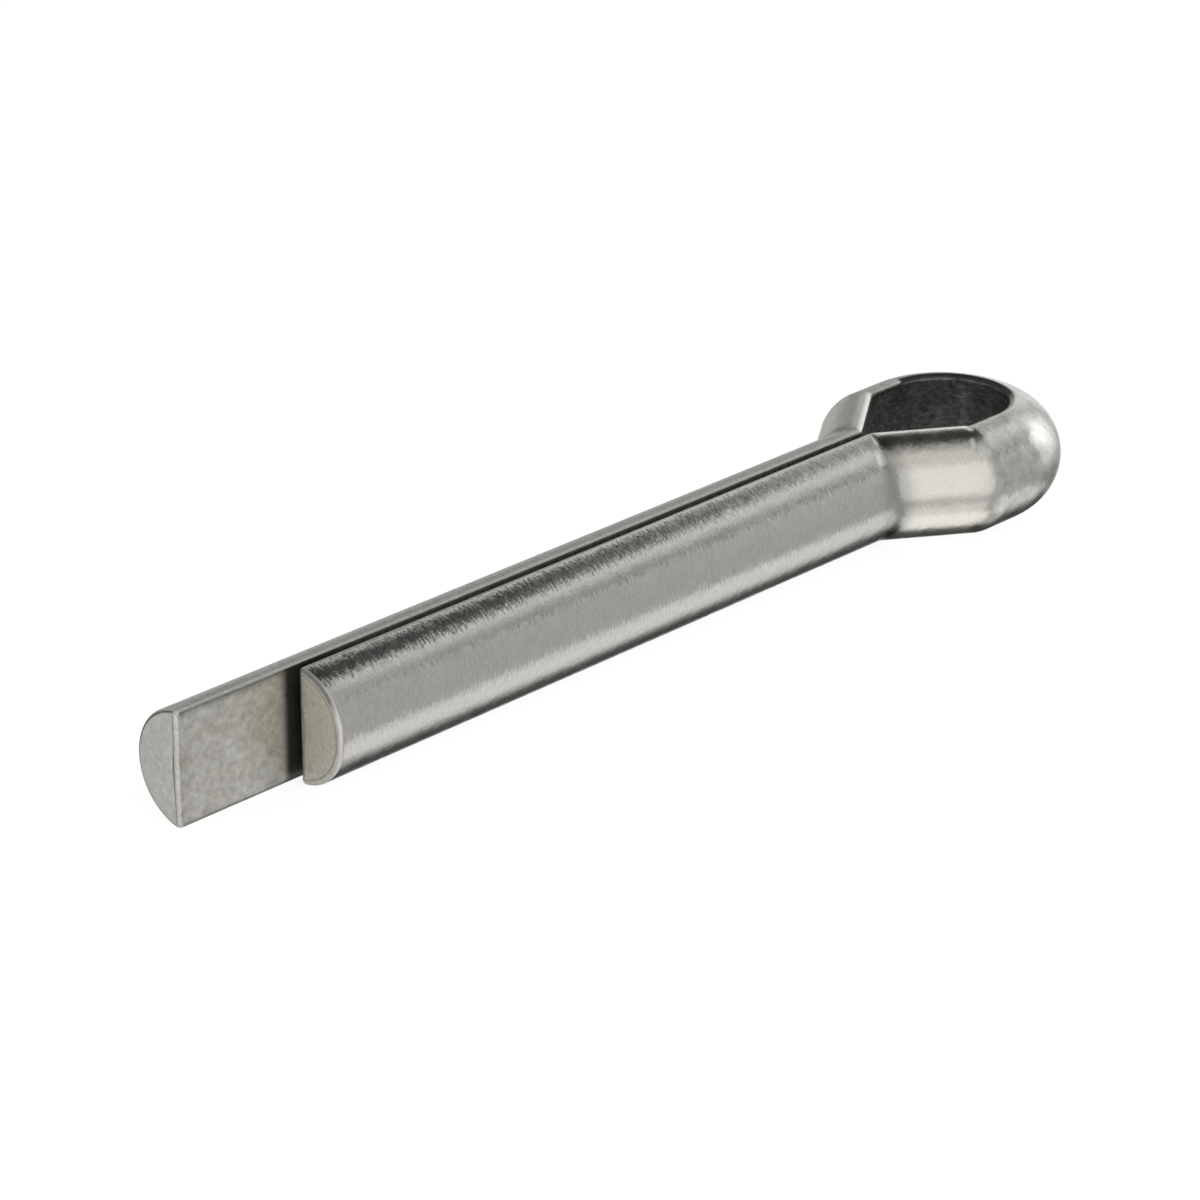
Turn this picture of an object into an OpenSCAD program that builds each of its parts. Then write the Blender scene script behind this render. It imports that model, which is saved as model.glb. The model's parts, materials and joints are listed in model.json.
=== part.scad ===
// Extended-prong cotter pin: one length of half-round wire, folded into an eye and two prongs.
// The shank's axis is X, with the eye at +X. The eye opens along Z, and the pin lies on its side.
// The origin is on the shank's axis, where the two folds under the eye begin.

/* [Shank] */
// Diameter of the round shank that the two prongs make together
shank_d = 2.75; // [2:0.05:6]
// Gap between the flats of the prongs
prong_gap = 0.2; // [0.05:0.05:0.5]
// Length of the short prong, from the fold under the eye to its cut end
short_prong = 18; // [6:0.5:80]
// How much further the extended prong reaches
extension = 3.2; // [0.5:0.1:10]

/* [Eye] */
// Clear width across the eye
eye_w = 3; // [2:0.1:8]
// Length of the eye's straight sides, between its shoulders and its round end
eye_side = 1.03; // [0.2:0.01:6]
// Angle at which each shoulder opens from the shank
shoulder_angle = 34.67; // [20:0.01:60]
// Depth of the centre of each fold under the eye, below the wire's round side
shank_fold_depth = 0.18; // [0.05:0.01:0.4]
// Depth of the centre of each fold beside the eye, below the wire's flat
eye_fold_depth = 0.11; // [0.03:0.01:0.13]

/* [Edges] */
// Rounding of the wire's long edges
edge_r = 0.09; // [0.08:0.01:0.2]
// Bevel round each cut end
tip_bevel = 0.09; // [0.03:0.01:0.2]

/* [Hidden] */
$fn = 96;

// The wire's section is the shank's circle, cut by a flat at half the gap
shank_r = shank_d / 2;
flat_y = prong_gap / 2;
wire_t = shank_r - flat_y;
eye_half = eye_w / 2;

// The circle's thin edges are trimmed down to where it lies this far behind the flat.
// That gives the wire's half height, taken to a thousandth.
trim_depth = 1.5 * edge_r;
edge_h = round(1000 * sqrt(pow(shank_r, 2) - pow(flat_y + trim_depth, 2))) / 1000;

// Depth behind the flat of the fold centres under the eye, and how much deeper they lie than
// those beside the eye
shank_fold = wire_t - shank_fold_depth;
stagger = shank_fold - eye_fold_depth;

// Straight length of a shoulder, and distance from the origin to the centre of the eye's round end
shoulder_len = (eye_half - flat_y - stagger * (1 - cos(shoulder_angle))) / sin(shoulder_angle);
eye_x = eye_side + shoulder_len * cos(shoulder_angle) + stagger * sin(shoulder_angle);

// Half-round section with rounded edges: X is depth behind the flat, and Y is height
module wire_section() {
    intersection() {
        translate([-flat_y, 0]) circle(r = shank_r);
        union() {
            translate([edge_r, -edge_h]) square([shank_r, 2 * edge_h]);
            translate([0, edge_r - edge_h]) square([shank_r, 2 * (edge_h - edge_r)]);
            for (side = [-1, 1]) translate([edge_r, side * (edge_h - edge_r)]) circle(r = edge_r);
        }
    }
}

// Each module below lays one stretch of wire, and then its children where that stretch ends.
// The wire runs along X, with its flat on Y = 0 and its round side towards +Y.

module straight(length) {
    rotate([90, 0, 90]) linear_extrude(length) wire_section();
    translate([length, 0, 0]) children();
}

// Turns what follows by an angle, about an upright axis at a depth behind the flat
module turned(angle, depth) {
    translate([0, depth, 0]) rotate([0, 0, angle]) translate([0, -depth, 0]) children();
}

// Fold towards the round side: the wire between its flat and the axis swings about the axis
module fold_out() {
    translate([0, shank_fold, 0]) rotate([0, 0, -90]) rotate_extrude(angle = shoulder_angle)
        intersection() {
            translate([shank_fold, 0]) mirror([1, 0]) wire_section();
            translate([0, -shank_r]) square([shank_fold, shank_d]);
        }
    turned(shoulder_angle, shank_fold) children();
}

// Fold towards the flat: the wire beyond the axis swings about the axis
module fold_back() {
    translate([0, eye_fold_depth, 0]) rotate([0, 0, 90]) rotate_extrude(angle = -shoulder_angle)
        intersection() {
            translate([-eye_fold_depth, 0]) wire_section();
            translate([0, -shank_r]) square([wire_t, shank_d]);
        }
    turned(-shoulder_angle, eye_fold_depth) children();
}

// A prong up to its square-cut tip: straight wire within a bevelled rod and a bevelled slab
module prong(length) {
    bevel_x = length - tip_bevel;
    intersection() {
        straight(length);
        translate([0, -flat_y, 0]) rotate([0, 90, 0]) rotate_extrude()
            polygon([[0, 0], [shank_r, 0], [shank_r, bevel_x], [shank_r - tip_bevel, length], [0, length]]);
        translate([0, 0, -shank_r]) linear_extrude(shank_d)
            polygon([[0, 0], [bevel_x, 0], [length, tip_bevel], [length, shank_r], [0, shank_r]]);
    }
}

// One side of the pin, from the eye's round end to the prong's tip
module half_pin(prong_len) {
    straight(eye_side) fold_back() straight(shoulder_len) fold_out() prong(prong_len);
}

module cotter_pin() {
    color("silver") translate([eye_x, 0, 0]) {
        rotate([0, 0, -90]) rotate_extrude(angle = 180) translate([eye_half, 0]) wire_section();
        translate([0, eye_half, 0]) mirror([1, 0, 0]) half_pin(short_prong + extension);
        translate([0, -eye_half, 0]) rotate([0, 0, 180]) half_pin(short_prong);
    }
}

cotter_pin();
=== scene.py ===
import json
import math

import bpy
import numpy as np
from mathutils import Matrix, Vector


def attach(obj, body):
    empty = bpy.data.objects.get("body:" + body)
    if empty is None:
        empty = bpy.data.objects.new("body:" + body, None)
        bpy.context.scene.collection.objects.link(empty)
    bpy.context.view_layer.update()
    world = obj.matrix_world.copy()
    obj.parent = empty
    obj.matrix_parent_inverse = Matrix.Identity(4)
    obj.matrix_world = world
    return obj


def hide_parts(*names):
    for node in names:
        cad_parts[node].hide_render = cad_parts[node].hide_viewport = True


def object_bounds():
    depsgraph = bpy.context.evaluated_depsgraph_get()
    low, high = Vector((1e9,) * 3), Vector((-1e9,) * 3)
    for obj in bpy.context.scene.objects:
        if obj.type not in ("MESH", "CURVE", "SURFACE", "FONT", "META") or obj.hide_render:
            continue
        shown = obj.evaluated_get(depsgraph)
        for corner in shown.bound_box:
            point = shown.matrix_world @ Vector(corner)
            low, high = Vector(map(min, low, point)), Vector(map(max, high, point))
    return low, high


# A split cotter pin, folded from one length of half-round steel wire. Lengths are in metres,
# in the part's own frame: X runs along the shank towards the eye, and Z through the eye's opening.

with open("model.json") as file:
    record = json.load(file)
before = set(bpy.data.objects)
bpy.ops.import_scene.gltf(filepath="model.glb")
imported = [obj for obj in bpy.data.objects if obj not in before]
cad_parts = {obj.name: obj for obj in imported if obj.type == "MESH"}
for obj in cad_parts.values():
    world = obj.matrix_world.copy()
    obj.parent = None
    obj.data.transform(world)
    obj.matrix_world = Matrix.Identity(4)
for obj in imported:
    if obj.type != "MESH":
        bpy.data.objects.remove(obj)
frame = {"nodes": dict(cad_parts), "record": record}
cadLow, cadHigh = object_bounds()
scene = bpy.context.scene
floorHeight = cadLow.z
print("frame loaded:", sorted(frame["nodes"]))


camera = {
    "azimuth": -46.58,  # degrees round the pin, from the side of its short prong
    "elevation": 23.68,  # degrees above the floor
    "distance": 0.10016,
    "lens": 135.0,
    "target": (-0.00891, -0.00016, 0.0),
    "clip": (0.001, 10),
}


def placeCamera(spec):
    azimuth, elevation = math.radians(spec["azimuth"]), math.radians(spec["elevation"])
    back = Vector((
        math.sin(azimuth) * math.cos(elevation),
        -math.cos(azimuth) * math.cos(elevation),
        math.sin(elevation),
    ))
    data = bpy.data.cameras.new("camera")
    data.lens = spec["lens"]
    data.clip_start, data.clip_end = spec["clip"]
    eye = bpy.data.objects.new("camera", data)
    eye.location = Vector(spec["target"]) + back * spec["distance"]
    eye.rotation_mode = "QUATERNION"
    eye.rotation_quaternion = (-back).to_track_quat("-Z", "Y")
    scene.collection.objects.link(eye)
    scene.camera = eye


placeCamera(camera)
print("camera placed")

shankRadius = next(m for m in frame["record"]["mounts"] if m["name"] == "shank")["dims"]["r_mm"] / 1000
wire = {
    "slit": 0.0002,  # gap between the flats of the prongs
    "shortProng": 0.018,
    "longProng": -cadLow.x,
    "halfHeight": cadHigh.z,  # of the half-round wire, across its flat
    "shoulderAngle": math.radians(34.67),
    "shankFoldDepth": 0.001095,  # depth behind the flat of the fold's axis under the eye
    "eyeFoldDepth": 0.00011,  # and of the fold's axis beside the eye
    "crease": (0.00025, 0.00085),  # radius of a fold under the eye, at the flat and at the round side
    "kink": 0.00004,  # softness of the inner side of a fold beside the eye
    "tipRound": 0.0001,  # rounding of the cut ends' rims
    "faceMiddle": 0.42,  # where a cut face's rings shrink to, as a share of the wire's thickness
    "marks": (
        # Ridges that the bending tool raised on the folds: the fold, the distance past its middle,
        # the lowest and highest angle on the round side, the height and the half width
        ("crease", -0.0002, 42, 57, 0.000012, 0.00011),
        ("crease", -0.00006, 64, 81, 0.00002, 0.00007),
        ("kink", -0.00026, 48, 60, 0.00002, 0.000045),
        ("kink", -0.0002, 73, 87, 0.00002, 0.00006),
    ),
}
detail = {
    # Points round the section: along half of the flat, round a rim and along the round side
    "flat": 12,
    "rim": 11,
    "roundSide": 71,
    # Columns along the wire, from its ends to the middle of the eye
    "cutFace": 7,
    "tipRings": 6,
    "prong": 50,
    "beforeFold": (0.981, 0.998, 9),  # from and to these shares of the prong, this many more
    "fold": 15,
    "shoulder": 24,
    "crowding": 1.6,  # of a shoulder's columns towards the fold beside the eye
    "side": 7,
    "eyeEnd": 71,
}
endColumns = detail["cutFace"] + detail["tipRings"]
wireThickness = shankRadius - wire["slit"] / 2
eyeHalf = cadHigh.y - wireThickness
eyeCentre = cadHigh.x - cadHigh.y


def wireSection():
    # Half-round outline, as depth behind the flat and height, with the outward direction at each
    # point: the flat, a rim circle tangent to the flat and to the shank's circle, the shank's arc,
    # the other rim and the flat again. The rim's radius solves (height - r)^2 = (R - r)^2 - (r + f)^2,
    # with R the shank's radius and f half the slit.
    halfGap, height = wire["slit"] / 2, wire["halfHeight"]
    slack = shankRadius + halfGap - height
    rim = -slack + math.sqrt(slack**2 + shankRadius**2 - halfGap**2 - height**2)
    rimHeight = height - rim
    rimAngle = math.atan2(rimHeight, rim + halfGap)
    flatZ = rimHeight * np.linspace(0, 1, detail["flat"] + 1)
    turn = np.linspace(math.pi, rimAngle, detail["rim"])
    bow = np.linspace(rimAngle, -rimAngle, detail["roundSide"] + 2)[1:-1]

    def circle(centre, radius, angle):
        out = np.stack([np.cos(angle), np.sin(angle)], 1)
        return np.array(centre) + radius * out, out

    up, upOut = circle((rim, rimHeight), rim, turn)
    arc, arcOut = circle((-halfGap, 0), shankRadius, bow)
    flip = np.array([1, -1])
    flatOut = np.tile([-1.0, 0.0], (len(flatZ) - 1, 1))
    flatUp = np.stack([0 * flatZ[:-1], flatZ[:-1]], 1)
    flatDown = (flatUp[1:] * flip)[::-1]
    points = np.concatenate([flatUp, up, arc, up[::-1] * flip, flatDown])
    out = np.concatenate([flatOut, upOut, arcOut, upOut[::-1] * flip, flatOut[1:]])
    return points, out


def softMax(a, b, width):
    # The greater of two values, with the change from one to the other rounded over a width
    return (a + b + np.sqrt((a - b) ** 2 + width**2)) / 2


def halfLine(depth, prong):
    # The line that a fibre at some depth behind the flat follows, from its prong's tip to the start
    # of the eye's round end: three straight stretches, with two arcs tangent to them at the folds.
    # The straights for every depth meet on the folds' bisector planes.
    angle = wire["shoulderAngle"]
    half = math.tan(angle / 2)
    foot = np.array([wire["shankFoldDepth"] * half, wire["slit"] / 2])
    top = foot + (eyeHalf - foot[1]) * np.array([1 / math.tan(angle), 1])
    d = depth[:, None]
    atFlat, atRoundSide = wire["crease"]
    footRadius = atFlat + (atRoundSide - atFlat) * d / wireThickness
    topRadius = softMax(d - wire["eyeFoldDepth"], wire["kink"], wire["kink"])
    footX, footY = foot[0] - d * half, foot[1] + d
    topX, topY = top[0] - d * half, top[1] + d

    a = np.linspace(0, angle, detail["fold"])[None]
    start = footX - footRadius * half
    footArc = np.stack([start + footRadius * np.sin(a), footY + footRadius * (1 - np.cos(a))], 2)
    end = topX + topRadius * half
    back = angle - a
    topArc = np.stack([end - topRadius * np.sin(back), topY - topRadius * (1 - np.cos(back))], 2)

    even = np.linspace(0, 1, detail["prong"] + 1)[:-1]
    share = np.append(even, np.linspace(*detail["beforeFold"]))[None]
    tip = -prong + wire["tipRound"]
    prongLine = np.stack([tip + (start - tip) * share, footY + 0 * share], 2)
    share = 1 - np.linspace(1, 0, detail["shoulder"] + 2)[None, 1:-1] ** detail["crowding"]
    shoulder = footArc[:, -1:] + (topArc[:, :1] - footArc[:, -1:]) * share[..., None]
    share = np.linspace(0, 1, detail["side"] + 1)[None, 1:]
    side = np.stack([end + (eyeCentre - end) * share, topY + 0 * share], 2)
    return np.concatenate([prongLine, footArc, shoulder, topArc, side], 1)


def wireSurface():
    # Each point of the half-round section runs along its own fibre line, from the long prong's tip
    # over the eye to the short prong's tip. At both tips the section shrinks by r(1 - cos a) while it
    # advances by r sin a, which rounds the cut end's rim, and then shrinks to a point in the cut face.
    section, out = wireSection()
    depth, height = section.T
    first, second = halfLine(depth, wire["longProng"]), halfLine(depth, wire["shortProng"])
    swing = np.linspace(math.pi / 2, -math.pi / 2, detail["eyeEnd"] + 2)[None, 1:-1]
    radius = (eyeHalf + depth)[:, None]
    over = np.stack([eyeCentre + radius * np.cos(swing), radius * np.sin(swing)], 2)
    flip = np.array([1, -1])
    line = np.concatenate([first, over, (second * flip)[:, ::-1]], 1)
    xyz = np.concatenate([line, np.broadcast_to(height[:, None, None], line.shape[:2] + (1,))], 2)

    def cutEnd(prong, side):
        turn = np.linspace(0, math.pi / 2, detail["tipRings"] + 1)[1:]
        inset = wire["tipRound"] * (1 - np.cos(turn))
        advance = wire["tipRound"] * np.sin(turn)
        rings = section[:, None] - out[:, None] * inset[None, :, None]
        tip = -prong + wire["tipRound"] - advance
        middle = np.array([wire["faceMiddle"] * wireThickness, 0])
        shrink = np.linspace(1, 0, detail["cutFace"] + 2)[1:-1]
        face = middle + (rings[:, -1:] - middle) * shrink[None, :, None]
        rings = np.concatenate([rings, face], 1)
        x = np.concatenate([tip, np.full(len(shrink), -prong)])
        x = np.broadcast_to(x, rings.shape[:2])
        y = side * (wire["slit"] / 2 + rings[..., 0])
        ring = np.stack([x, y, rings[..., 1]], 2)
        pole = [-prong, side * (wire["slit"] / 2 + middle[0]), 0]
        return ring, pole

    longEnd, longPole = cutEnd(wire["longProng"], 1)
    shortEnd, shortPole = cutEnd(wire["shortProng"], -1)
    grid = np.concatenate([longEnd[:, ::-1], xyz, shortEnd], 1)
    return grid, np.array([longPole, shortPole])


def wireDistances(grid):
    # Distance run round the section at each row, and along the wire at each column, in millimetres
    # from the edge of the long prong's cut end. The first is the prong's, and the second is the mean
    # over the section.
    closed = np.concatenate([grid[:, endColumns], grid[:1, endColumns]])
    across = np.linalg.norm(np.diff(closed, axis=0), axis=1)
    along = np.linalg.norm(np.diff(grid, axis=1), axis=2).mean(0)
    u = 1000 * np.concatenate([[0], np.cumsum(across)])
    v = 1000 * np.concatenate([[0], np.cumsum(along)])
    return u, v - v[endColumns]


def bell(x, width):
    # 1 at x = 0, falling by exp(-x^2) on both sides
    return np.exp(-((x / width) ** 2))


def toolMarks(past, folds, angle):
    # Height of the ridges on the folds, at each row and column: for each ridge, a steep bell over
    # the angle on the round side, times a bell over the distance from its place by the fold. The
    # second result is 1 on the ridges' tops and 0 away from them.
    height, top = 0, 0
    for fold, shift, lowest, highest, size, width in wire["marks"]:
        middle, reach = (lowest + highest) / 2, (highest - lowest) / 2
        window = np.exp(-(((angle - middle) / reach) ** 4))
        place = past - folds[fold] - 1000 * shift
        ridge = window[:, None] * bell(place, 1000 * width)[None]
        height, top = height + size * ridge, np.maximum(top, ridge)
    return height, top


def outward(grid):
    # Unit normals of a closed tube: the cross product of the steps round it and along it
    steps = np.cross(np.roll(grid, -1, 0) - np.roll(grid, 1, 0), np.gradient(grid, axis=1))
    return steps / np.linalg.norm(steps, axis=2, keepdims=True)


def tubeMesh(name, grid, poles):
    # Quads between neighbouring rows and columns of a closed tube, and a fan of triangles to the
    # pole at each end
    around, along = grid.shape[:2]
    index = np.arange(around * along).reshape(around, along)
    after = np.roll(index, -1, 0)
    quads = np.stack([index[:, :-1], index[:, 1:], after[:, 1:], after[:, :-1]], 2).reshape(-1, 4)
    firstPole, lastPole = around * along, around * along + 1
    firstFan = np.stack([index[:, 0], after[:, 0], np.full(around, firstPole)], 1)
    lastFan = np.stack([after[:, -1], index[:, -1], np.full(around, lastPole)], 1)
    points = np.concatenate([grid.reshape(-1, 3), poles])
    mesh = bpy.data.meshes.new(name)
    mesh.from_pydata(points.tolist(), [], quads.tolist() + firstFan.tolist() + lastFan.tolist())
    mesh.shade_smooth()
    return mesh


def mapWire(mesh, u, v):
    # The map's U is the distance round the section, and its V the distance along the wire. Each
    # face spans its own two rows, so the map doesn't fold back where the section closes.
    low, high = (np.stack(np.meshgrid(edge, v, indexing="ij"), 2) for edge in (u[:-1], u[1:]))
    quads = np.stack([low[:, :-1], low[:, 1:], high[:, 1:], high[:, :-1]], 2)
    middle = (u[:-1] + u[1:]) / 2
    beyond = 0.1
    firstPole = np.stack([middle, np.full(len(middle), v[0] - beyond)], 1)
    lastPole = np.stack([middle, np.full(len(middle), v[-1] + beyond)], 1)
    firstFan = np.stack([low[:, 0], high[:, 0], firstPole], 1)
    lastFan = np.stack([high[:, -1], low[:, -1], lastPole], 1)
    corners = np.concatenate([part.reshape(-1, 2) for part in (quads, firstFan, lastFan)])
    layer = mesh.uv_layers.new(name="wire")
    layer.uv.foreach_set("vector", corners.ravel().astype(np.float32))


finishAndPaintedLight = {
    # Where the wire lies deeper behind its flat than this, the painted dark line round the long prong's
    # cut end is this many millimetres nearer the edge
    "lineOffFlat": (0.0001, 0.09),
    "rimRise": 3,  # how steeply a rim's layer rises from both sides of the rim
    # Amounts of painted shade in rows from the flat's edge on: a dark line by it, and more on the eye's
    # far rims
    "flatEdgeShade": (0.5, 1, 1, 0.7, 0.3),
    "farRimShade": (0.1, 0.5, 1, 1.15, 1.2, 1.2, 1.2, 1.2, 1.2, 1.2, 1, 0.3),
    # The painted shade on the eye's far rims starts this far past the eye's centre, and from this Y on it
    # grows over this length
    "farRimShadeStart": (0.0001, -0.0013, 0.0004),
    "edgeAngle": (72, 77),  # the painted highlight on the edges begins between these angles on the round side
    "foldShade": (
        # Painted shade in the folds: the fold, the distance past its middle and half width in mm, the
        # angle on the round side and half width in degrees, and the amount
        ("crease", 0, 0.13, -34, 9, 1.3),
        ("kink", -0.2, 0.16, -40, 9, 1),
        ("crease", 0.1, 0.12, 60, 7, 0.5),
    ),
    "creaseShade": (0.3, 80, 0.45),  # half width in mm, angle that it reaches on both sides, amount
    "flatRows": 3,  # rows of a rim that have the flat's finish
    "rimBands": 4,  # bands of a cut end's rounded rim that have the wire's finish
}


def finishAndPaintedLightLayers(grid, section, angle, pastFold, folds):
    # What the finishes read, at each row and column: the depth inside a cut end's edge, the
    # distance past the folds under the eye, both in millimetres, and amounts of the rims, the painted
    # highlight on the outer edges, and the painted shade by the flat and in the folds
    around, along = grid.shape[:2]

    def fromFlat(amounts):
        # These amounts in the rows from the flat's upper edge on, and from its lower edge on
        rows = np.zeros((around, 1))
        rows[detail["flat"] : detail["flat"] + len(amounts), 0] = amounts
        return rows + np.roll(rows[::-1], 1, axis=0)

    run = 1000 * np.linalg.norm(np.diff(grid, axis=1), axis=2)
    run = np.concatenate([np.zeros((around, 1)), np.cumsum(run, 1)], 1)
    deeper, nearer = finishAndPaintedLight["lineOffFlat"]
    longDepth = run[:, endColumns - 1 : endColumns] - run + nearer * (section[:, :1] > deeper)
    shortDepth = run - run[:, -endColumns : 1 - endColumns]
    bulge = np.sin(np.linspace(0, math.pi, detail["rim"]))

    # Painted shade: a dark line by the flat's edges between the cut ends, darker on the eye's far rims
    betweenEnds = np.zeros(along)
    betweenEnds[endColumns:-endColumns] = 1
    flatEdgeShade = fromFlat(finishAndPaintedLight["flatEdgeShade"]) * betweenEnds
    past, side, growth = finishAndPaintedLight["farRimShadeStart"]
    farHalf = (grid[..., 0] > eyeCentre + past) * np.clip((grid[..., 1] - side) / growth, 0, 1)
    flatEdgeShade = flatEdgeShade + (fromFlat(finishAndPaintedLight["farRimShade"]) - flatEdgeShade) * farHalf

    # Painted highlight on the upper edges of the round side
    first, last = finishAndPaintedLight["edgeAngle"]
    edge = np.clip((np.abs(angle) - first) / (last - first), 0, 1) * (section[:, 0] > 0)
    # Painted shade along the crease and in spots in the folds
    width, reach, amount = finishAndPaintedLight["creaseShade"]
    paintedShade = amount * bell(pastFold - folds["crease"], width) * (np.abs(angle) < reach)[:, None]
    for fold, shift, width, middle, reach, amount in finishAndPaintedLight["foldShade"]:
        place = pastFold - folds[fold] - shift
        paintedShade = paintedShade + amount * bell(place, width) * bell(angle - middle, reach)[:, None]
    return {
        "cutDepth": np.clip(np.maximum(longDepth, shortDepth), 0, None),
        "pastFold": pastFold,
        "rim": fromFlat(np.minimum(1, finishAndPaintedLight["rimRise"] * bulge)),
        "edge": edge[:, None],
        "flatEdgeShade": flatEdgeShade,
        "foldShade": paintedShade,
    }


def makeWire(name):
    grid, poles = wireSurface()
    section, _ = wireSection()
    around, along = grid.shape[:2]
    u, v = wireDistances(grid)
    start = endColumns + detail["prong"] + detail["beforeFold"][2]  # column where a fold begins
    crease = start + detail["fold"] // 2
    kink = crease + detail["fold"] + detail["shoulder"]
    pastFold = np.minimum(v - v[start], v[-1 - start] - v)
    folds = {"crease": v[crease] - v[start], "kink": v[kink] - v[start]}
    angle = np.degrees(np.arctan2(section[:, 1], section[:, 0] + wire["slit"] / 2))
    marks, marked = toolMarks(pastFold, folds, angle)
    grid = grid + marks[..., None] * outward(grid)
    mesh = tubeMesh(name, grid, poles)
    mapWire(mesh, u, v)

    layers = finishAndPaintedLightLayers(grid, section, angle, pastFold, folds)
    layers["mark"] = marked
    for label, values in layers.items():
        values = np.broadcast_to(values, (around, along)).ravel()
        data = mesh.attributes.new(label, "FLOAT", "POINT").data
        data.foreach_set("value", np.append(values, [values[0], values[along - 1]]).astype(np.float32))

    # Finishes: 0 on the round side and its rims, 1 on the flat, 2 on the cut ends
    kind = np.zeros((around, along - 1), dtype=np.int32)
    onFlat = detail["flat"] + finishAndPaintedLight["flatRows"]
    onEnd = endColumns - finishAndPaintedLight["rimBands"]
    kind[:onFlat] = kind[-onFlat:] = 1
    kind[:, :onEnd] = kind[:, -onEnd:] = 2
    mesh.polygons.foreach_set("material_index", np.append(kind.ravel(), np.full(2 * around, 2, np.int32)))
    piece = bpy.data.objects.new(name, mesh)
    scene.collection.objects.link(piece)
    return piece


pin = makeWire("split_pin_wire")
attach(pin, "root")
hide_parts("cotter_pin")
print("wire made:", len(pin.data.polygons), "faces")

steel = {
    # name of the finish: its values, with sizes in mm and depths in metres
    "drawn_round_side": {
        "colours": ((0.605, 0.595, 0.555), (0.645, 0.635, 0.6)),  # clouds drift between these
        "shoulderColour": (0.7, 0.685, 0.615),
        "eyeColour": (0.61, 0.6, 0.57),
        "slit": ((0.62, 0.61, 0.575), 0, 0),  # painted shade in the slit: its colour, the metal taken off there, and painted shade before it
        "highlightColour": (1, 0.99, 0.95),  # painted highlight on the shoulders' edges and the tool marks
        "cloud": (0.35, 0.6, 0.12, 0.00001),  # size, contrast, change of brightness, depth
        "grain": (0.06, 0.16, 0.000002),  # size, change of brightness, depth
        "strokes": (0.055, 0.2, 0.036, 0.3),  # width, length, tilt, change of brightness
        "eyeStrokes": 0,  # further change of brightness by the strokes inside the eye
        "roughness": (0.26, 0.08, 0.25),  # its value, change by the clouds and change on the rims
    },
    "pressed_flat": {
        "colours": ((0.525, 0.505, 0.45), (0.53, 0.525, 0.49)),
        "shoulderColour": (0.66, 0.66, 0.64),
        "eyeColour": (0.6, 0.6, 0.58),
        "slit": ((0.04, 0.039, 0.033), 0.9, 0.2),
        "highlightColour": (0.53, 0.53, 0.51),
        "cloud": (0.3, 0.8, 0.38, 0.000002),
        "grain": (0.15, 0.6, 0.0000013),
        "strokes": (0.3, 0.08, 0.015, 0.25),
        "eyeStrokes": 1.2,
        "roughness": (0.28, 0.12, 0.2),
    },
    "cut_end": {
        "colours": ((0.665, 0.645, 0.595), (0.685, 0.675, 0.645)),
        "shoulderColour": (0.62, 0.6, 0.55),
        "eyeColour": (0.62, 0.6, 0.55),
        "slit": ((0.65, 0.62, 0.55), 0, 0),
        "highlightColour": (0.62, 0.6, 0.55),
        "cloud": (0.3, 0.6, 0.2, 0.000003),
        "grain": (0.12, 0.5, 0.000002),
        "strokes": (0.07, 0.2, 0.01, 0.1),
        "eyeStrokes": 0,
        "roughness": (0.46, 0.1, 0),
    },
}
noise = {
    "roughness": 0.55,
    "cloudOctaves": 2.5,
    "grainOctaves": 1.5,
    "strokeOctaves": 2.0,
    "strokeTilt": (4.0, 1.2),  # round the wire and along it
}
zones = {
    # Where a look comes in: what is measured, and its values where the look is absent and full. In
    # mm, these are the distance past the folds under the eye, the distance from the long prong's cut
    # end, the depth inside a cut end's edge, and the height over the pin's middle plane.
    "prong": ("pastFold", 0.5, 0),
    "shoulderStart": ("pastFold", 0, 0.3),
    "shoulderEnd": ("pastFold", 2.7, 2.3),
    "shoulderTone": ("pastFold", 0.2, 0.6),
    "eye": ("pastFold", 2.1, 3.0),
    "eyeTone": ("pastFold", 2.1, 2.9),
    "eyeEdgeShade": ("pastFold", 2.4, 3.0),
    "insideEye": ("pastFold", 0, 0.4),
    "slitStart": ("waveringEnd", 2.8, 3.03),
    "slitFoot": ("pastFold", -0.1, -0.6),
    "beforeSlit": ("fromEnd", 1.8, 2.9),
    "thinnedLength": ("fromEnd", 3.3, 6),
    "longEnd": ("fromEnd", 5, 1),
    "shortEnd": ("fromEnd", 1, 5),
    "high": ("height", -0.6, 0.9),
    "highEdge": ("height", 1.0, 1.2),
    "highRim": ("height", 0.5, 0.9),
    "endRim": ("cutDepth", 0, 0.03),
    "rimStart": ("cutDepth", 0, 0.04),
    "rimEnd": ("cutDepth", 0.13, 0.1),
    "lineStart": ("cutDepth", 0.135, 0.165),
    "lineEnd": ("cutDepth", 0.215, 0.185),
    "stroke": ("strokes", 0.62, 0.72),
    "speck": ("grain", 0.5, 0.6),
}
wearAndShade = {
    # Strength of the strokes low on the prongs, on the shoulders and on the eye
    "strokes": (0.25, 0.22, 0.6),
    "shoulderStreaks": 0.25,  # how much of the strokes' change of brightness is left on the shoulders
    "eyeClouds": 0.6,  # further change of brightness by the clouds on the eye
    "slitStart": 0.12,  # wavering of the painted shade in the slit where it begins, in mm
    "slitThinned": 0.5,  # how much of it is taken off by the upper edges
    "line": 0.65,  # painted shade: a dark line inside the edge of the long prong's cut end
    "shortLine": 0.5,  # how much of that there is at the short prong's
    "highRim": 0.5,  # painted shade on the upper part of the short prong's rim
    "flatEdgeShade": 0.75,  # painted shade beside the flat of the eye
    "prongEdgeShade": 0.6,  # how much of that there is on the prongs
    "foldShade": (0.65, 1.3),  # painted shade in the folds, and the most of it that counts
    "markRoughness": 0.15,  # added on the tool marks
}


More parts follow.
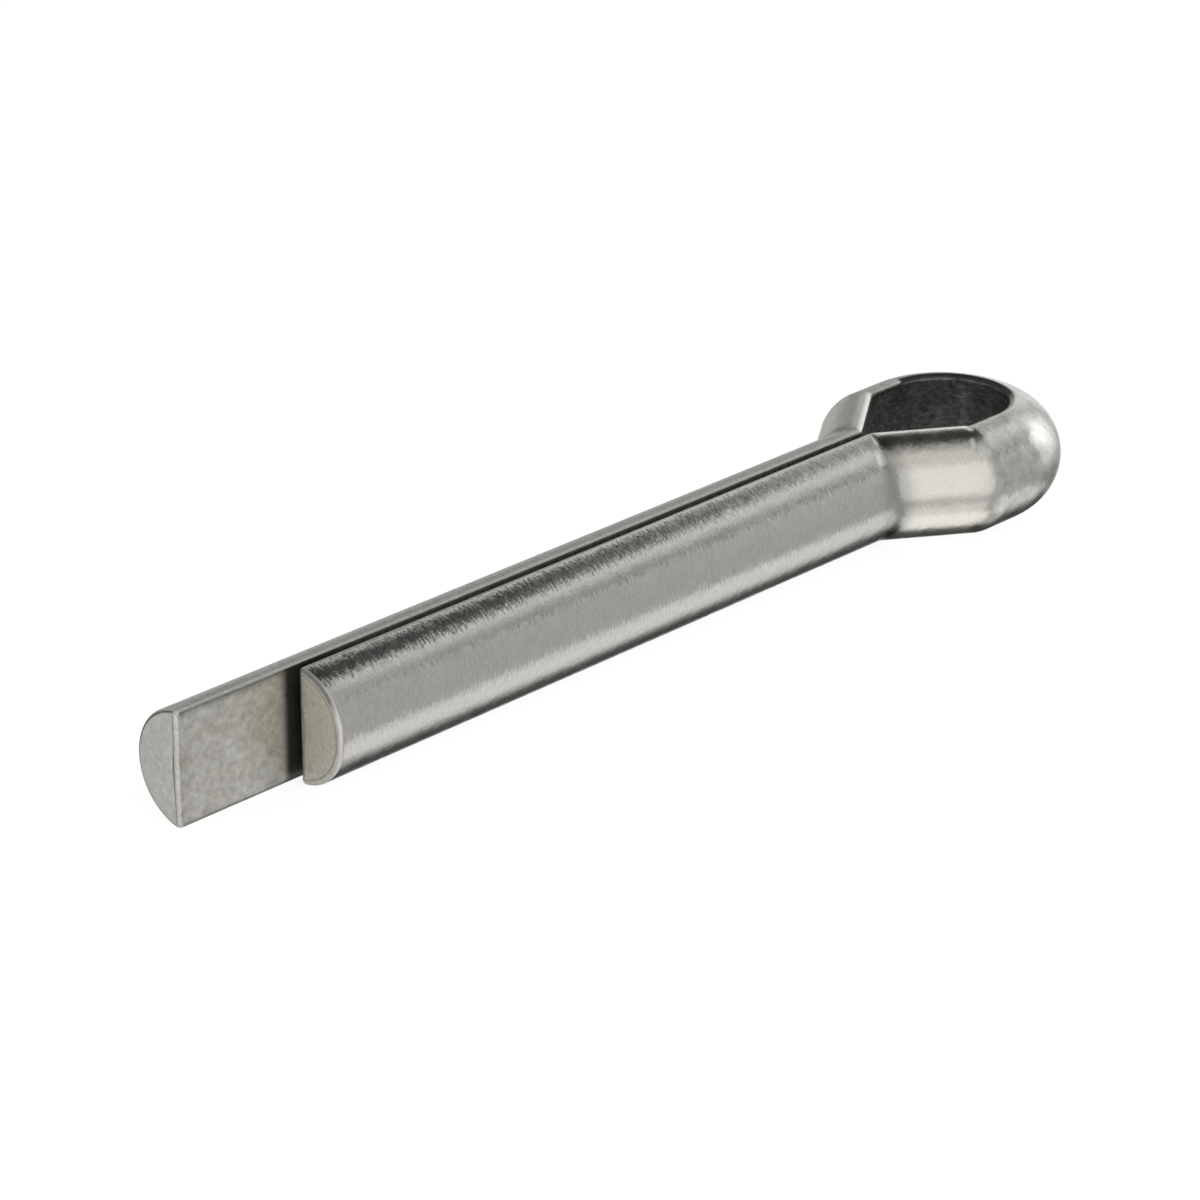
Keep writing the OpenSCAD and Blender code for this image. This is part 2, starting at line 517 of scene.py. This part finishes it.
def put(tree, kind, inputs=None, **settings):
    node = tree.nodes.new("ShaderNode" + kind)
    for name, value in settings.items():
        setattr(node, name, value)
    for name, value in (inputs or {}).items():
        if isinstance(value, bpy.types.NodeSocket):
            tree.links.new(value, node.inputs[name])
        else:
            node.inputs[name].default_value = value
    return node


def toSurface(tree, shader):
    tree.links.new(shader.outputs[0], tree.nodes["Material Output"].inputs["Surface"])


def maths(tree, operation, *values):
    return put(tree, "Math", dict(enumerate(values)), operation=operation).outputs[0]


def times(tree, first, second):
    return maths(tree, "MULTIPLY", first, second)


def greater(tree, first, second):
    return maths(tree, "MAXIMUM", first, second)


def scaled(tree, value, factor, offset):
    return maths(tree, "MULTIPLY_ADD", value, factor, offset)


def centred(tree, value):
    return maths(tree, "SUBTRACT", value, 0.5)


def shade(tree, light, value, amount):
    # An amount above 0 changes the brightness round a value of 0.5, and one below 0 only darkens.
    return times(tree, light, scaled(tree, value, amount, 1 - max(amount, 0) / 2))


def attribute(tree, label):
    return put(tree, "Attribute", attribute_name=label).outputs["Fac"]


def zone(tree, measures, *labels):
    # The product of some zones' shares
    share = None
    for label in labels:
        measure, absent, full = zones[label]
        limits = {"Value": measures[measure], "From Min": absent, "From Max": full}
        here = put(tree, "MapRange", limits, interpolation_type="SMOOTHSTEP").outputs[0]
        share = here if share is None else times(tree, share, here)
    return share


def newGroup(name, inputs, outputs):
    group = bpy.data.node_groups.new(name, "ShaderNodeTree")
    for label, kind in inputs.items():
        group.interface.new_socket(label, in_out="INPUT", socket_type="NodeSocket" + kind)
    for label, kind in outputs.items():
        group.interface.new_socket(label, in_out="OUTPUT", socket_type="NodeSocket" + kind)
    return group, group.nodes.new("NodeGroupInput").outputs, group.nodes.new("NodeGroupOutput").inputs


def crossStrokes():
    # Short strokes that run round the wire: noise on the distance round it over their length and
    # the distance along it over their width. They tilt the surface round the wire and a little
    # along it.
    group, given, result = newGroup(
        "cross_strokes",
        {"Wire": "Vector", "Width": "Float", "Length": "Float", "Tilt": "Float"},
        {"Tilted": "Color", "Strokes": "Float"},
    )
    size = put(group, "CombineXYZ", {"X": given["Length"], "Y": given["Width"], "Z": 1.0}).outputs[0]
    grid = put(group, "VectorMath", {0: given["Wire"], 1: size}, operation="DIVIDE").outputs[0]
    octaves, roughness = noise["strokeOctaves"], noise["roughness"]
    spread = {"Vector": grid, "Scale": 1.0, "Detail": octaves, "Roughness": roughness}
    strokes = put(group, "TexNoise", spread, noise_dimensions="2D")
    parts = put(group, "SeparateColor", {"Color": strokes.outputs["Color"]}).outputs
    tiltRound, tiltAlong = noise["strokeTilt"]

    def tilted(value, amount):
        return scaled(group, times(group, centred(group, value), given["Tilt"]), amount, 0.5)

    colour = {"Red": tilted(parts[0], tiltRound), "Green": tilted(parts[1], tiltAlong), "Blue": 1.0}
    group.links.new(put(group, "CombineColor", colour).outputs[0], result["Tilted"])
    group.links.new(strokes.outputs[0], result["Strokes"])
    return group


def clouds():
    # Stains some tenths of a millimetre wide and a fine grain, both as noise round 0.5
    group, given, result = newGroup(
        "clouds", {"Place": "Vector", "Cloud Size": "Float", "Grain Size": "Float"},
        {"Cloud": "Float", "Grain": "Float"},
    )
    for name, octaves in (("Cloud", noise["cloudOctaves"]), ("Grain", noise["grainOctaves"])):
        scale = maths(group, "DIVIDE", 1.0, given[name + " Size"])
        spread = {"Vector": given["Place"], "Scale": scale, "Detail": octaves}
        spread["Roughness"] = noise["roughness"]
        group.links.new(put(group, "TexNoise", spread).outputs[0], result[name])
    return group


def stretches():
    # Where the prongs, the shoulders and the eye are, where their tones come in, and the strength of
    # the strokes, which is greatest high on the prongs and less on the shoulders and the eye
    names = "Prongs", "Shoulders", "Eye", "Shoulder Tone", "Eye Tone", "Inside Eye", "Stroke Strength"
    group, given, result = newGroup("stretches", {"Place": "Vector"}, dict.fromkeys(names, "Float"))
    height = put(group, "SeparateXYZ", {0: given["Place"]}).outputs["Z"]
    measures = {"pastFold": attribute(group, "pastFold"), "height": height}
    onProngs, onEye = zone(group, measures, "prong"), zone(group, measures, "eye")
    low, shoulder, eye = wearAndShade["strokes"]
    strength = scaled(group, zone(group, measures, "high"), 1 - low, low)
    most = greater(group, onProngs, greater(group, times(group, onEye, eye), shoulder))
    found = (
        onProngs,
        zone(group, measures, "shoulderStart", "shoulderEnd"),
        onEye,
        zone(group, measures, "shoulderTone"),
        zone(group, measures, "eyeTone"),
        zone(group, measures, "insideEye"),
        times(group, strength, most),
    )
    for name, value in zip(names, found):
        group.links.new(value, result[name])
    return group


def paintedLightAndRims():
    # Painted highlight lies on the shoulders' edges and the tool marks, and in specks on the prongs'
    # edges. Painted shade fills the slit and starts just before it, and is thinner by the upper edges.
    # Light is what is left by painted shade: a dark line inside each cut end's edge, and darkening on
    # the short end's rim, beside the flats and in the folds.
    group, given, result = newGroup(
        "painted_light_and_rims",
        {
            "Wire": "Vector", "Place": "Vector", "Grain": "Float", "Strokes": "Float",
            "Prongs": "Float", "Shoulders": "Float",
        },
        {
            "Highlight": "Float", "Slit Shade": "Float", "Before Slit": "Float", "Light": "Float",
            "Rims": "Float",
        },
    )
    fromEnd = put(group, "SeparateXYZ", {0: given["Wire"]}).outputs["Y"]
    measures = {
        "pastFold": attribute(group, "pastFold"),
        "cutDepth": attribute(group, "cutDepth"),
        "fromEnd": fromEnd,
        "waveringEnd": scaled(group, given["Grain"], wearAndShade["slitStart"], fromEnd),
        "height": put(group, "SeparateXYZ", {0: given["Place"]}).outputs["Z"],
        "grain": given["Grain"],
        "strokes": given["Strokes"],
    }
    # Painted highlight on the shoulders' edges, in specks along the prongs' edges and on the tool marks
    specks = zone(group, measures, "stroke", "speck")
    highlight = times(group, attribute(group, "edge"), greater(group, given["Shoulders"], specks))
    # Painted shade in the slit and just before it, lighter by the upper edges
    painted = scaled(group, zone(group, measures, "highEdge", "thinnedLength"), -wearAndShade["slitThinned"], 1.0)
    paintedShade = times(group, zone(group, measures, "slitStart", "slitFoot"), painted)

    # Painted shade: a dark line inside each cut end's edge, and on the short end's upper rim
    share = scaled(group, zone(group, measures, "longEnd"), 1 - wearAndShade["shortLine"], wearAndShade["shortLine"])
    line = times(group, zone(group, measures, "lineStart", "lineEnd"), share)
    highRim = zone(group, measures, "rimStart", "rimEnd", "highRim", "shortEnd")
    # Painted shade beside the flats and in the folds
    onProngs = times(group, given["Prongs"], wearAndShade["prongEdgeShade"])
    flatEdgeShade = greater(group, onProngs, zone(group, measures, "eyeEdgeShade"))
    spots = maths(group, "ADD", given["Grain"], 0.5)
    amount, most = wearAndShade["foldShade"]
    folds = maths(group, "MINIMUM", times(group, attribute(group, "foldShade"), spots), most)
    light = shade(group, 1.0, line, -wearAndShade["line"])
    light = shade(group, light, highRim, -wearAndShade["highRim"])
    light = shade(group, light, times(group, attribute(group, "flatEdgeShade"), flatEdgeShade), -wearAndShade["flatEdgeShade"])
    light = shade(group, light, folds, -amount)

    group.links.new(greater(group, highlight, attribute(group, "mark")), result["Highlight"])
    group.links.new(paintedShade, result["Slit Shade"])
    group.links.new(zone(group, measures, "beforeSlit"), result["Before Slit"])
    group.links.new(light, result["Light"])
    rims = greater(group, attribute(group, "rim"), zone(group, measures, "endRim"))
    group.links.new(rims, result["Rims"])
    return group


groups = {"strokes": crossStrokes(), "clouds": clouds(), "stretches": stretches(), "painted": paintedLightAndRims()}


def makeSteel(name, spec):
    material = bpy.data.materials.new(name)
    material.use_nodes = True
    tree = material.node_tree
    shader = tree.nodes["Principled BSDF"]
    shader.inputs["Metallic"].default_value = 1

    def place(label, inputs):
        return put(tree, "Group", inputs, node_tree=groups[label]).outputs

    def blend(factor, first, second):
        # From one colour towards another
        colours = {0: factor, 6: first, 7: (*second, 1)}
        return put(tree, "Mix", colours, data_type="RGBA").outputs[2]

    point = put(tree, "TexCoord").outputs["Object"]
    millimetres = put(tree, "VectorMath", {0: point, "Scale": 1000.0}, operation="SCALE").outputs[0]
    wireMap = put(tree, "UVMap", uv_map="wire").outputs[0]
    cloudSize, contrast, cloudShade, cloudDepth = spec["cloud"]
    grainSize, grainShade, grainDepth = spec["grain"]
    width, length, tilt, streaks = spec["strokes"]
    patches = place("clouds", {"Place": millimetres, "Cloud Size": cloudSize, "Grain Size": grainSize})
    cloud, grain = patches["Cloud"], patches["Grain"]
    part = place("stretches", {"Place": millimetres})
    tilt = times(tree, part["Stroke Strength"], tilt)
    strokes = place("strokes", {"Wire": wireMap, "Width": width, "Length": length, "Tilt": tilt})
    painted = place("painted", {
        "Wire": wireMap, "Place": millimetres, "Grain": grain, "Strokes": strokes["Strokes"],
        "Prongs": part["Prongs"], "Shoulders": part["Shoulders"],
    })

    reach = 0.25 / contrast  # the noise lies mostly within 0.25 of its middle value, 0.5
    limits = {"Value": cloud, "From Min": 0.5 - reach, "From Max": 0.5 + reach}
    dark, pale = spec["colours"]
    slitColour, metalLost, before = spec["slit"]
    tone = blend(put(tree, "MapRange", limits).outputs[0], (*dark, 1), pale)
    tone = blend(part["Shoulder Tone"], tone, spec["shoulderColour"])
    tone = blend(part["Eye Tone"], tone, spec["eyeColour"])
    # Painted highlight on the edges and the tool marks
    tone = blend(painted["Highlight"], tone, spec["highlightColour"])
    # Painted shade in the slit, with less metal there
    tone = blend(painted["Slit Shade"], tone, slitColour)
    if metalLost:
        tree.links.new(scaled(tree, painted["Slit Shade"], -metalLost, 1.0), shader.inputs["Metallic"])

    # Clouds count for more on the eye, and strokes for less on the shoulders.
    stroke = centred(tree, strokes["Strokes"])
    light = shade(tree, painted["Light"], grain, grainShade)
    light = shade(tree, light, cloud, cloudShade)
    onEye = times(tree, part["Eye"], wearAndShade["eyeClouds"])
    light = times(tree, light, scaled(tree, centred(tree, cloud), onEye, 1.0))
    left = scaled(tree, part["Shoulders"], wearAndShade["shoulderStreaks"] - 1, 1.0)
    light = shade(tree, light, scaled(tree, stroke, left, 0.5), streaks)
    if spec["eyeStrokes"]:
        inside = times(tree, part["Inside Eye"], stroke)
        light = times(tree, light, scaled(tree, inside, spec["eyeStrokes"], 1.0))
    # Painted shade on the flat just before the slit
    if before:
        light = shade(tree, light, painted["Before Slit"], -before)
    tone = put(tree, "VectorMath", {0: tone, "Scale": light}, operation="SCALE").outputs[0]
    tree.links.new(tone, shader.inputs["Base Color"])

    base, swing, onRim = spec["roughness"]
    rough = scaled(tree, cloud, swing, base - swing / 2)
    rough = scaled(tree, painted["Rims"], onRim, rough)
    rough = scaled(tree, attribute(tree, "mark"), wearAndShade["markRoughness"], rough)
    tree.links.new(rough, shader.inputs["Roughness"])

    tilted = {"Strength": 1.0, "Color": strokes["Tilted"]}
    normal = put(tree, "NormalMap", tilted, uv_map="wire").outputs[0]
    for bumps, depth in ((cloud, cloudDepth), (grain, grainDepth)):
        relief = {"Strength": 1.0, "Distance": depth, "Height": bumps, "Normal": normal}
        normal = put(tree, "Bump", relief).outputs[0]
    tree.links.new(normal, shader.inputs["Normal"])
    return material


for name, spec in steel.items():
    pin.data.materials.append(makeSteel(name, spec))
print("steel made:", ", ".join(steel))

# Directions are (azimuth, elevation) in degrees, with azimuth counted from +X towards +Y.
studio = {
    "room": 0.5,  # brightness of the tent all round
    "tentRadius": 0.6,
    "floorSize": 3,
    "floorColour": (0.85, 0.85, 0.85),
    "floorGlow": (0.35, 0.86),  # what the camera sees: this share of the lit floor, and this much white
    "distance": 0.5,  # of the softboxes
    "softboxes": {
        # name: direction, width and height in degrees, brightness above the tent's
        "upper": ((34, 37), (8, 13), 0.45),
        "front": ((-112, 14), (60, 64), 0.42),
        "back": ((-11, 9), (39, 38), 0.5),
        "backCore": ((-12, 17), (22, 22), 0.6),
        "backHigh": ((2, 32), (22, 14), 0.4),
        "side": ((29, 6), (18, 42), 0.36),
        "top": ((-95, 60), (50, 24), 0.2),
        "strip": ((-13, 46), (24, 7), 0.55),
        "below": ((-100, -71), (34, 32), 0.55),
        "belowShoulder": ((-109, -46), (20, 24), 0.35),
        "belowLeg": ((-37, -39), (34, 25), 0.36),
        "ends": ((137, -24), (50, 50), 0.1),
        "rims": ((-152, -20), (46, 36), 0.7),
        "behind": ((49, -27), (26, 18), 0.7),
    },
    # The dark card under the eye's opening is painted shade, standing for the shaded floor inside the eye
    # in the pin's reflections: how far it lies below the floor, and its brightness
    "shadeUnderEye": (0.00002, 0.1),
    "flags": {
        # cards: a corner, the two edges from it, and brightness
        "above": ((0, -0.0065, 0.06), (0.054, 0, 0), (0, 0.0395, 0), 0.0),
        "aboveEdge": ((0, -0.0125, 0.06), (0.054, 0, 0), (0, 0.006, 0), 0.3),
        "beyond": ((0.0529, 0.055, 0.0335), (-0.0178, 0.0166, 0), (0, 0, 0.035), 0.1),
        "under": ((0.015, -0.006, -0.06), (0.08, 0, 0), (0, 0.048, 0), 0.04),
        "low": ((0.1, -0.065, -0.06), (0.07, 0, 0), (0, 0.095, 0), 0.25),
        "dip": ((0.1206, -0.1172, 0.0952), (0.0253, 0.0335, 0), (0, 0, 0.031), 0.04),
        "farSide": ((-0.055, 0.15, -0.13), (0.11, 0, 0), (0, 0, 0.13), 0.1),
        "rear": ((0.076, 0.15, 0.01), (0.085, 0, 0), (0, 0, 0.047), 0.3),
    },
}


def direction(azimuth, elevation):
    a, e = math.radians(azimuth), math.radians(elevation)
    return Vector((math.cos(a) * math.cos(e), math.sin(a) * math.cos(e), math.sin(e)))


def addSoftbox(name, towards, spread, brightness):
    lamp = bpy.data.lights.new(name + "_softbox", "AREA")
    lamp.shape = "RECTANGLE"
    lamp.size, lamp.size_y = (2 * studio["distance"] * math.tan(math.radians(s) / 2) for s in spread)
    lamp.energy = 4 * lamp.size * lamp.size_y * brightness  # brightness is power over 4 times the area
    holder = bpy.data.objects.new(lamp.name, lamp)
    away = direction(*towards)
    holder.location = away * studio["distance"]
    holder.rotation_mode = "QUATERNION"
    holder.rotation_quaternion = away.to_track_quat("Z", "Y")
    scene.collection.objects.link(holder)


def seenDirectly(tree):
    # 1 for rays from the camera, by way of metal or glass too, and 0 for the light on matt things
    rays = put(tree, "LightPath").outputs
    mirrored = greater(tree, rays["Is Glossy Ray"], rays["Is Transmission Ray"])
    return greater(tree, rays["Is Camera Ray"], mirrored)


def makeWorld():
    world = bpy.data.worlds.new("studio")
    world.use_nodes = True
    tree = world.node_tree
    background = tree.nodes["Background"]
    strength = put(tree, "Mix", {"Factor": seenDirectly(tree), "A": studio["room"], "B": 1})
    tree.links.new(strength.outputs[0], background.inputs["Strength"])
    background.inputs["Color"].default_value = (1, 1, 1, 1)
    scene.world = world


def makeCard(name, corners, sides=((0, 1, 2, 3),)):
    mesh = bpy.data.meshes.new(name)
    mesh.from_pydata(corners, [], sides)
    card = bpy.data.objects.new(name, mesh)
    scene.collection.objects.link(card)
    material = bpy.data.materials.new(name)
    material.use_nodes = True
    material.node_tree.nodes.remove(material.node_tree.nodes["Principled BSDF"])
    mesh.materials.append(material)
    return card, material.node_tree


def makeGlow(tree, brightness):
    toSurface(tree, put(tree, "Emission", {"Strength": brightness}))


def makeFloor():
    # A light table: the camera sees it white with soft shadows, and lamps under it shine through.
    size, z = studio["floorSize"], floorHeight
    corners = [(-size, -size, z), (size, -size, z), (size, size, z), (-size, size, z)]
    floor, tree = makeCard("floor", corners)
    share, glow = studio["floorGlow"]
    lit = put(tree, "BsdfDiffuse", {"Color": (*studio["floorColour"], 1)})
    white = put(tree, "Emission", {"Strength": glow / (1 - share)})
    seen = times(tree, seenDirectly(tree), 1 - share)
    toSurface(tree, put(tree, "MixShader", {"Fac": seen, 1: lit.outputs[0], 2: white.outputs[0]}))
    floor.visible_glossy = floor.visible_shadow = False  # the pin mirrors what is under the table


def makeTent():
    # A box of cloth round the table, seen only in the pin
    r = studio["tentRadius"]
    corners = [(x, y, z) for x in (-r, r) for y in (-r, r) for z in (-r, r)]
    sides = [(0, 1, 3, 2), (4, 6, 7, 5), (0, 4, 5, 1), (2, 3, 7, 6), (0, 2, 6, 4), (1, 5, 7, 3)]
    tent, tree = makeCard("tent", corners, sides)
    makeGlow(tree, studio["room"])
    tent.visible_camera = tent.visible_transmission = tent.visible_diffuse = tent.visible_shadow = False


def makeFlag(name, corners, brightness):
    card, tree = makeCard("flag_" + name, corners, [range(len(corners))])
    makeGlow(tree, brightness)
    card.visible_camera = False


def eyeOpening(height, count=25):
    # Outline of the eye's opening: half a circle round its end, and two lines to the shoulders' foot
    swing = np.linspace(math.pi / 2, -math.pi / 2, count)
    x, y = eyeCentre + eyeHalf * np.cos(swing), eyeHalf * np.sin(swing)
    shoulder = eyeHalf / math.tan(wire["shoulderAngle"])
    x, y = np.append(x, [shoulder, 0, shoulder]), np.append(y, [-eyeHalf, 0, eyeHalf])
    return np.stack([x, y, np.full(len(x), height)], 1).tolist()


makeWorld()
makeFloor()
makeTent()
# A dark card as painted shade for the floor under the eye
drop, brightness = studio["shadeUnderEye"]
makeFlag("shadeUnderEye", eyeOpening(floorHeight - drop), brightness)
for name, (corner, first, second, brightness) in studio["flags"].items():
    corner, first, second = Vector(corner), Vector(first), Vector(second)
    makeFlag(name, [corner, corner + first, corner + first + second, corner + second], brightness)
for name, (towards, spread, brightness) in studio["softboxes"].items():
    addSoftbox(name, towards, spread, brightness)
scene.view_settings.view_transform = "Standard"
print("studio set")
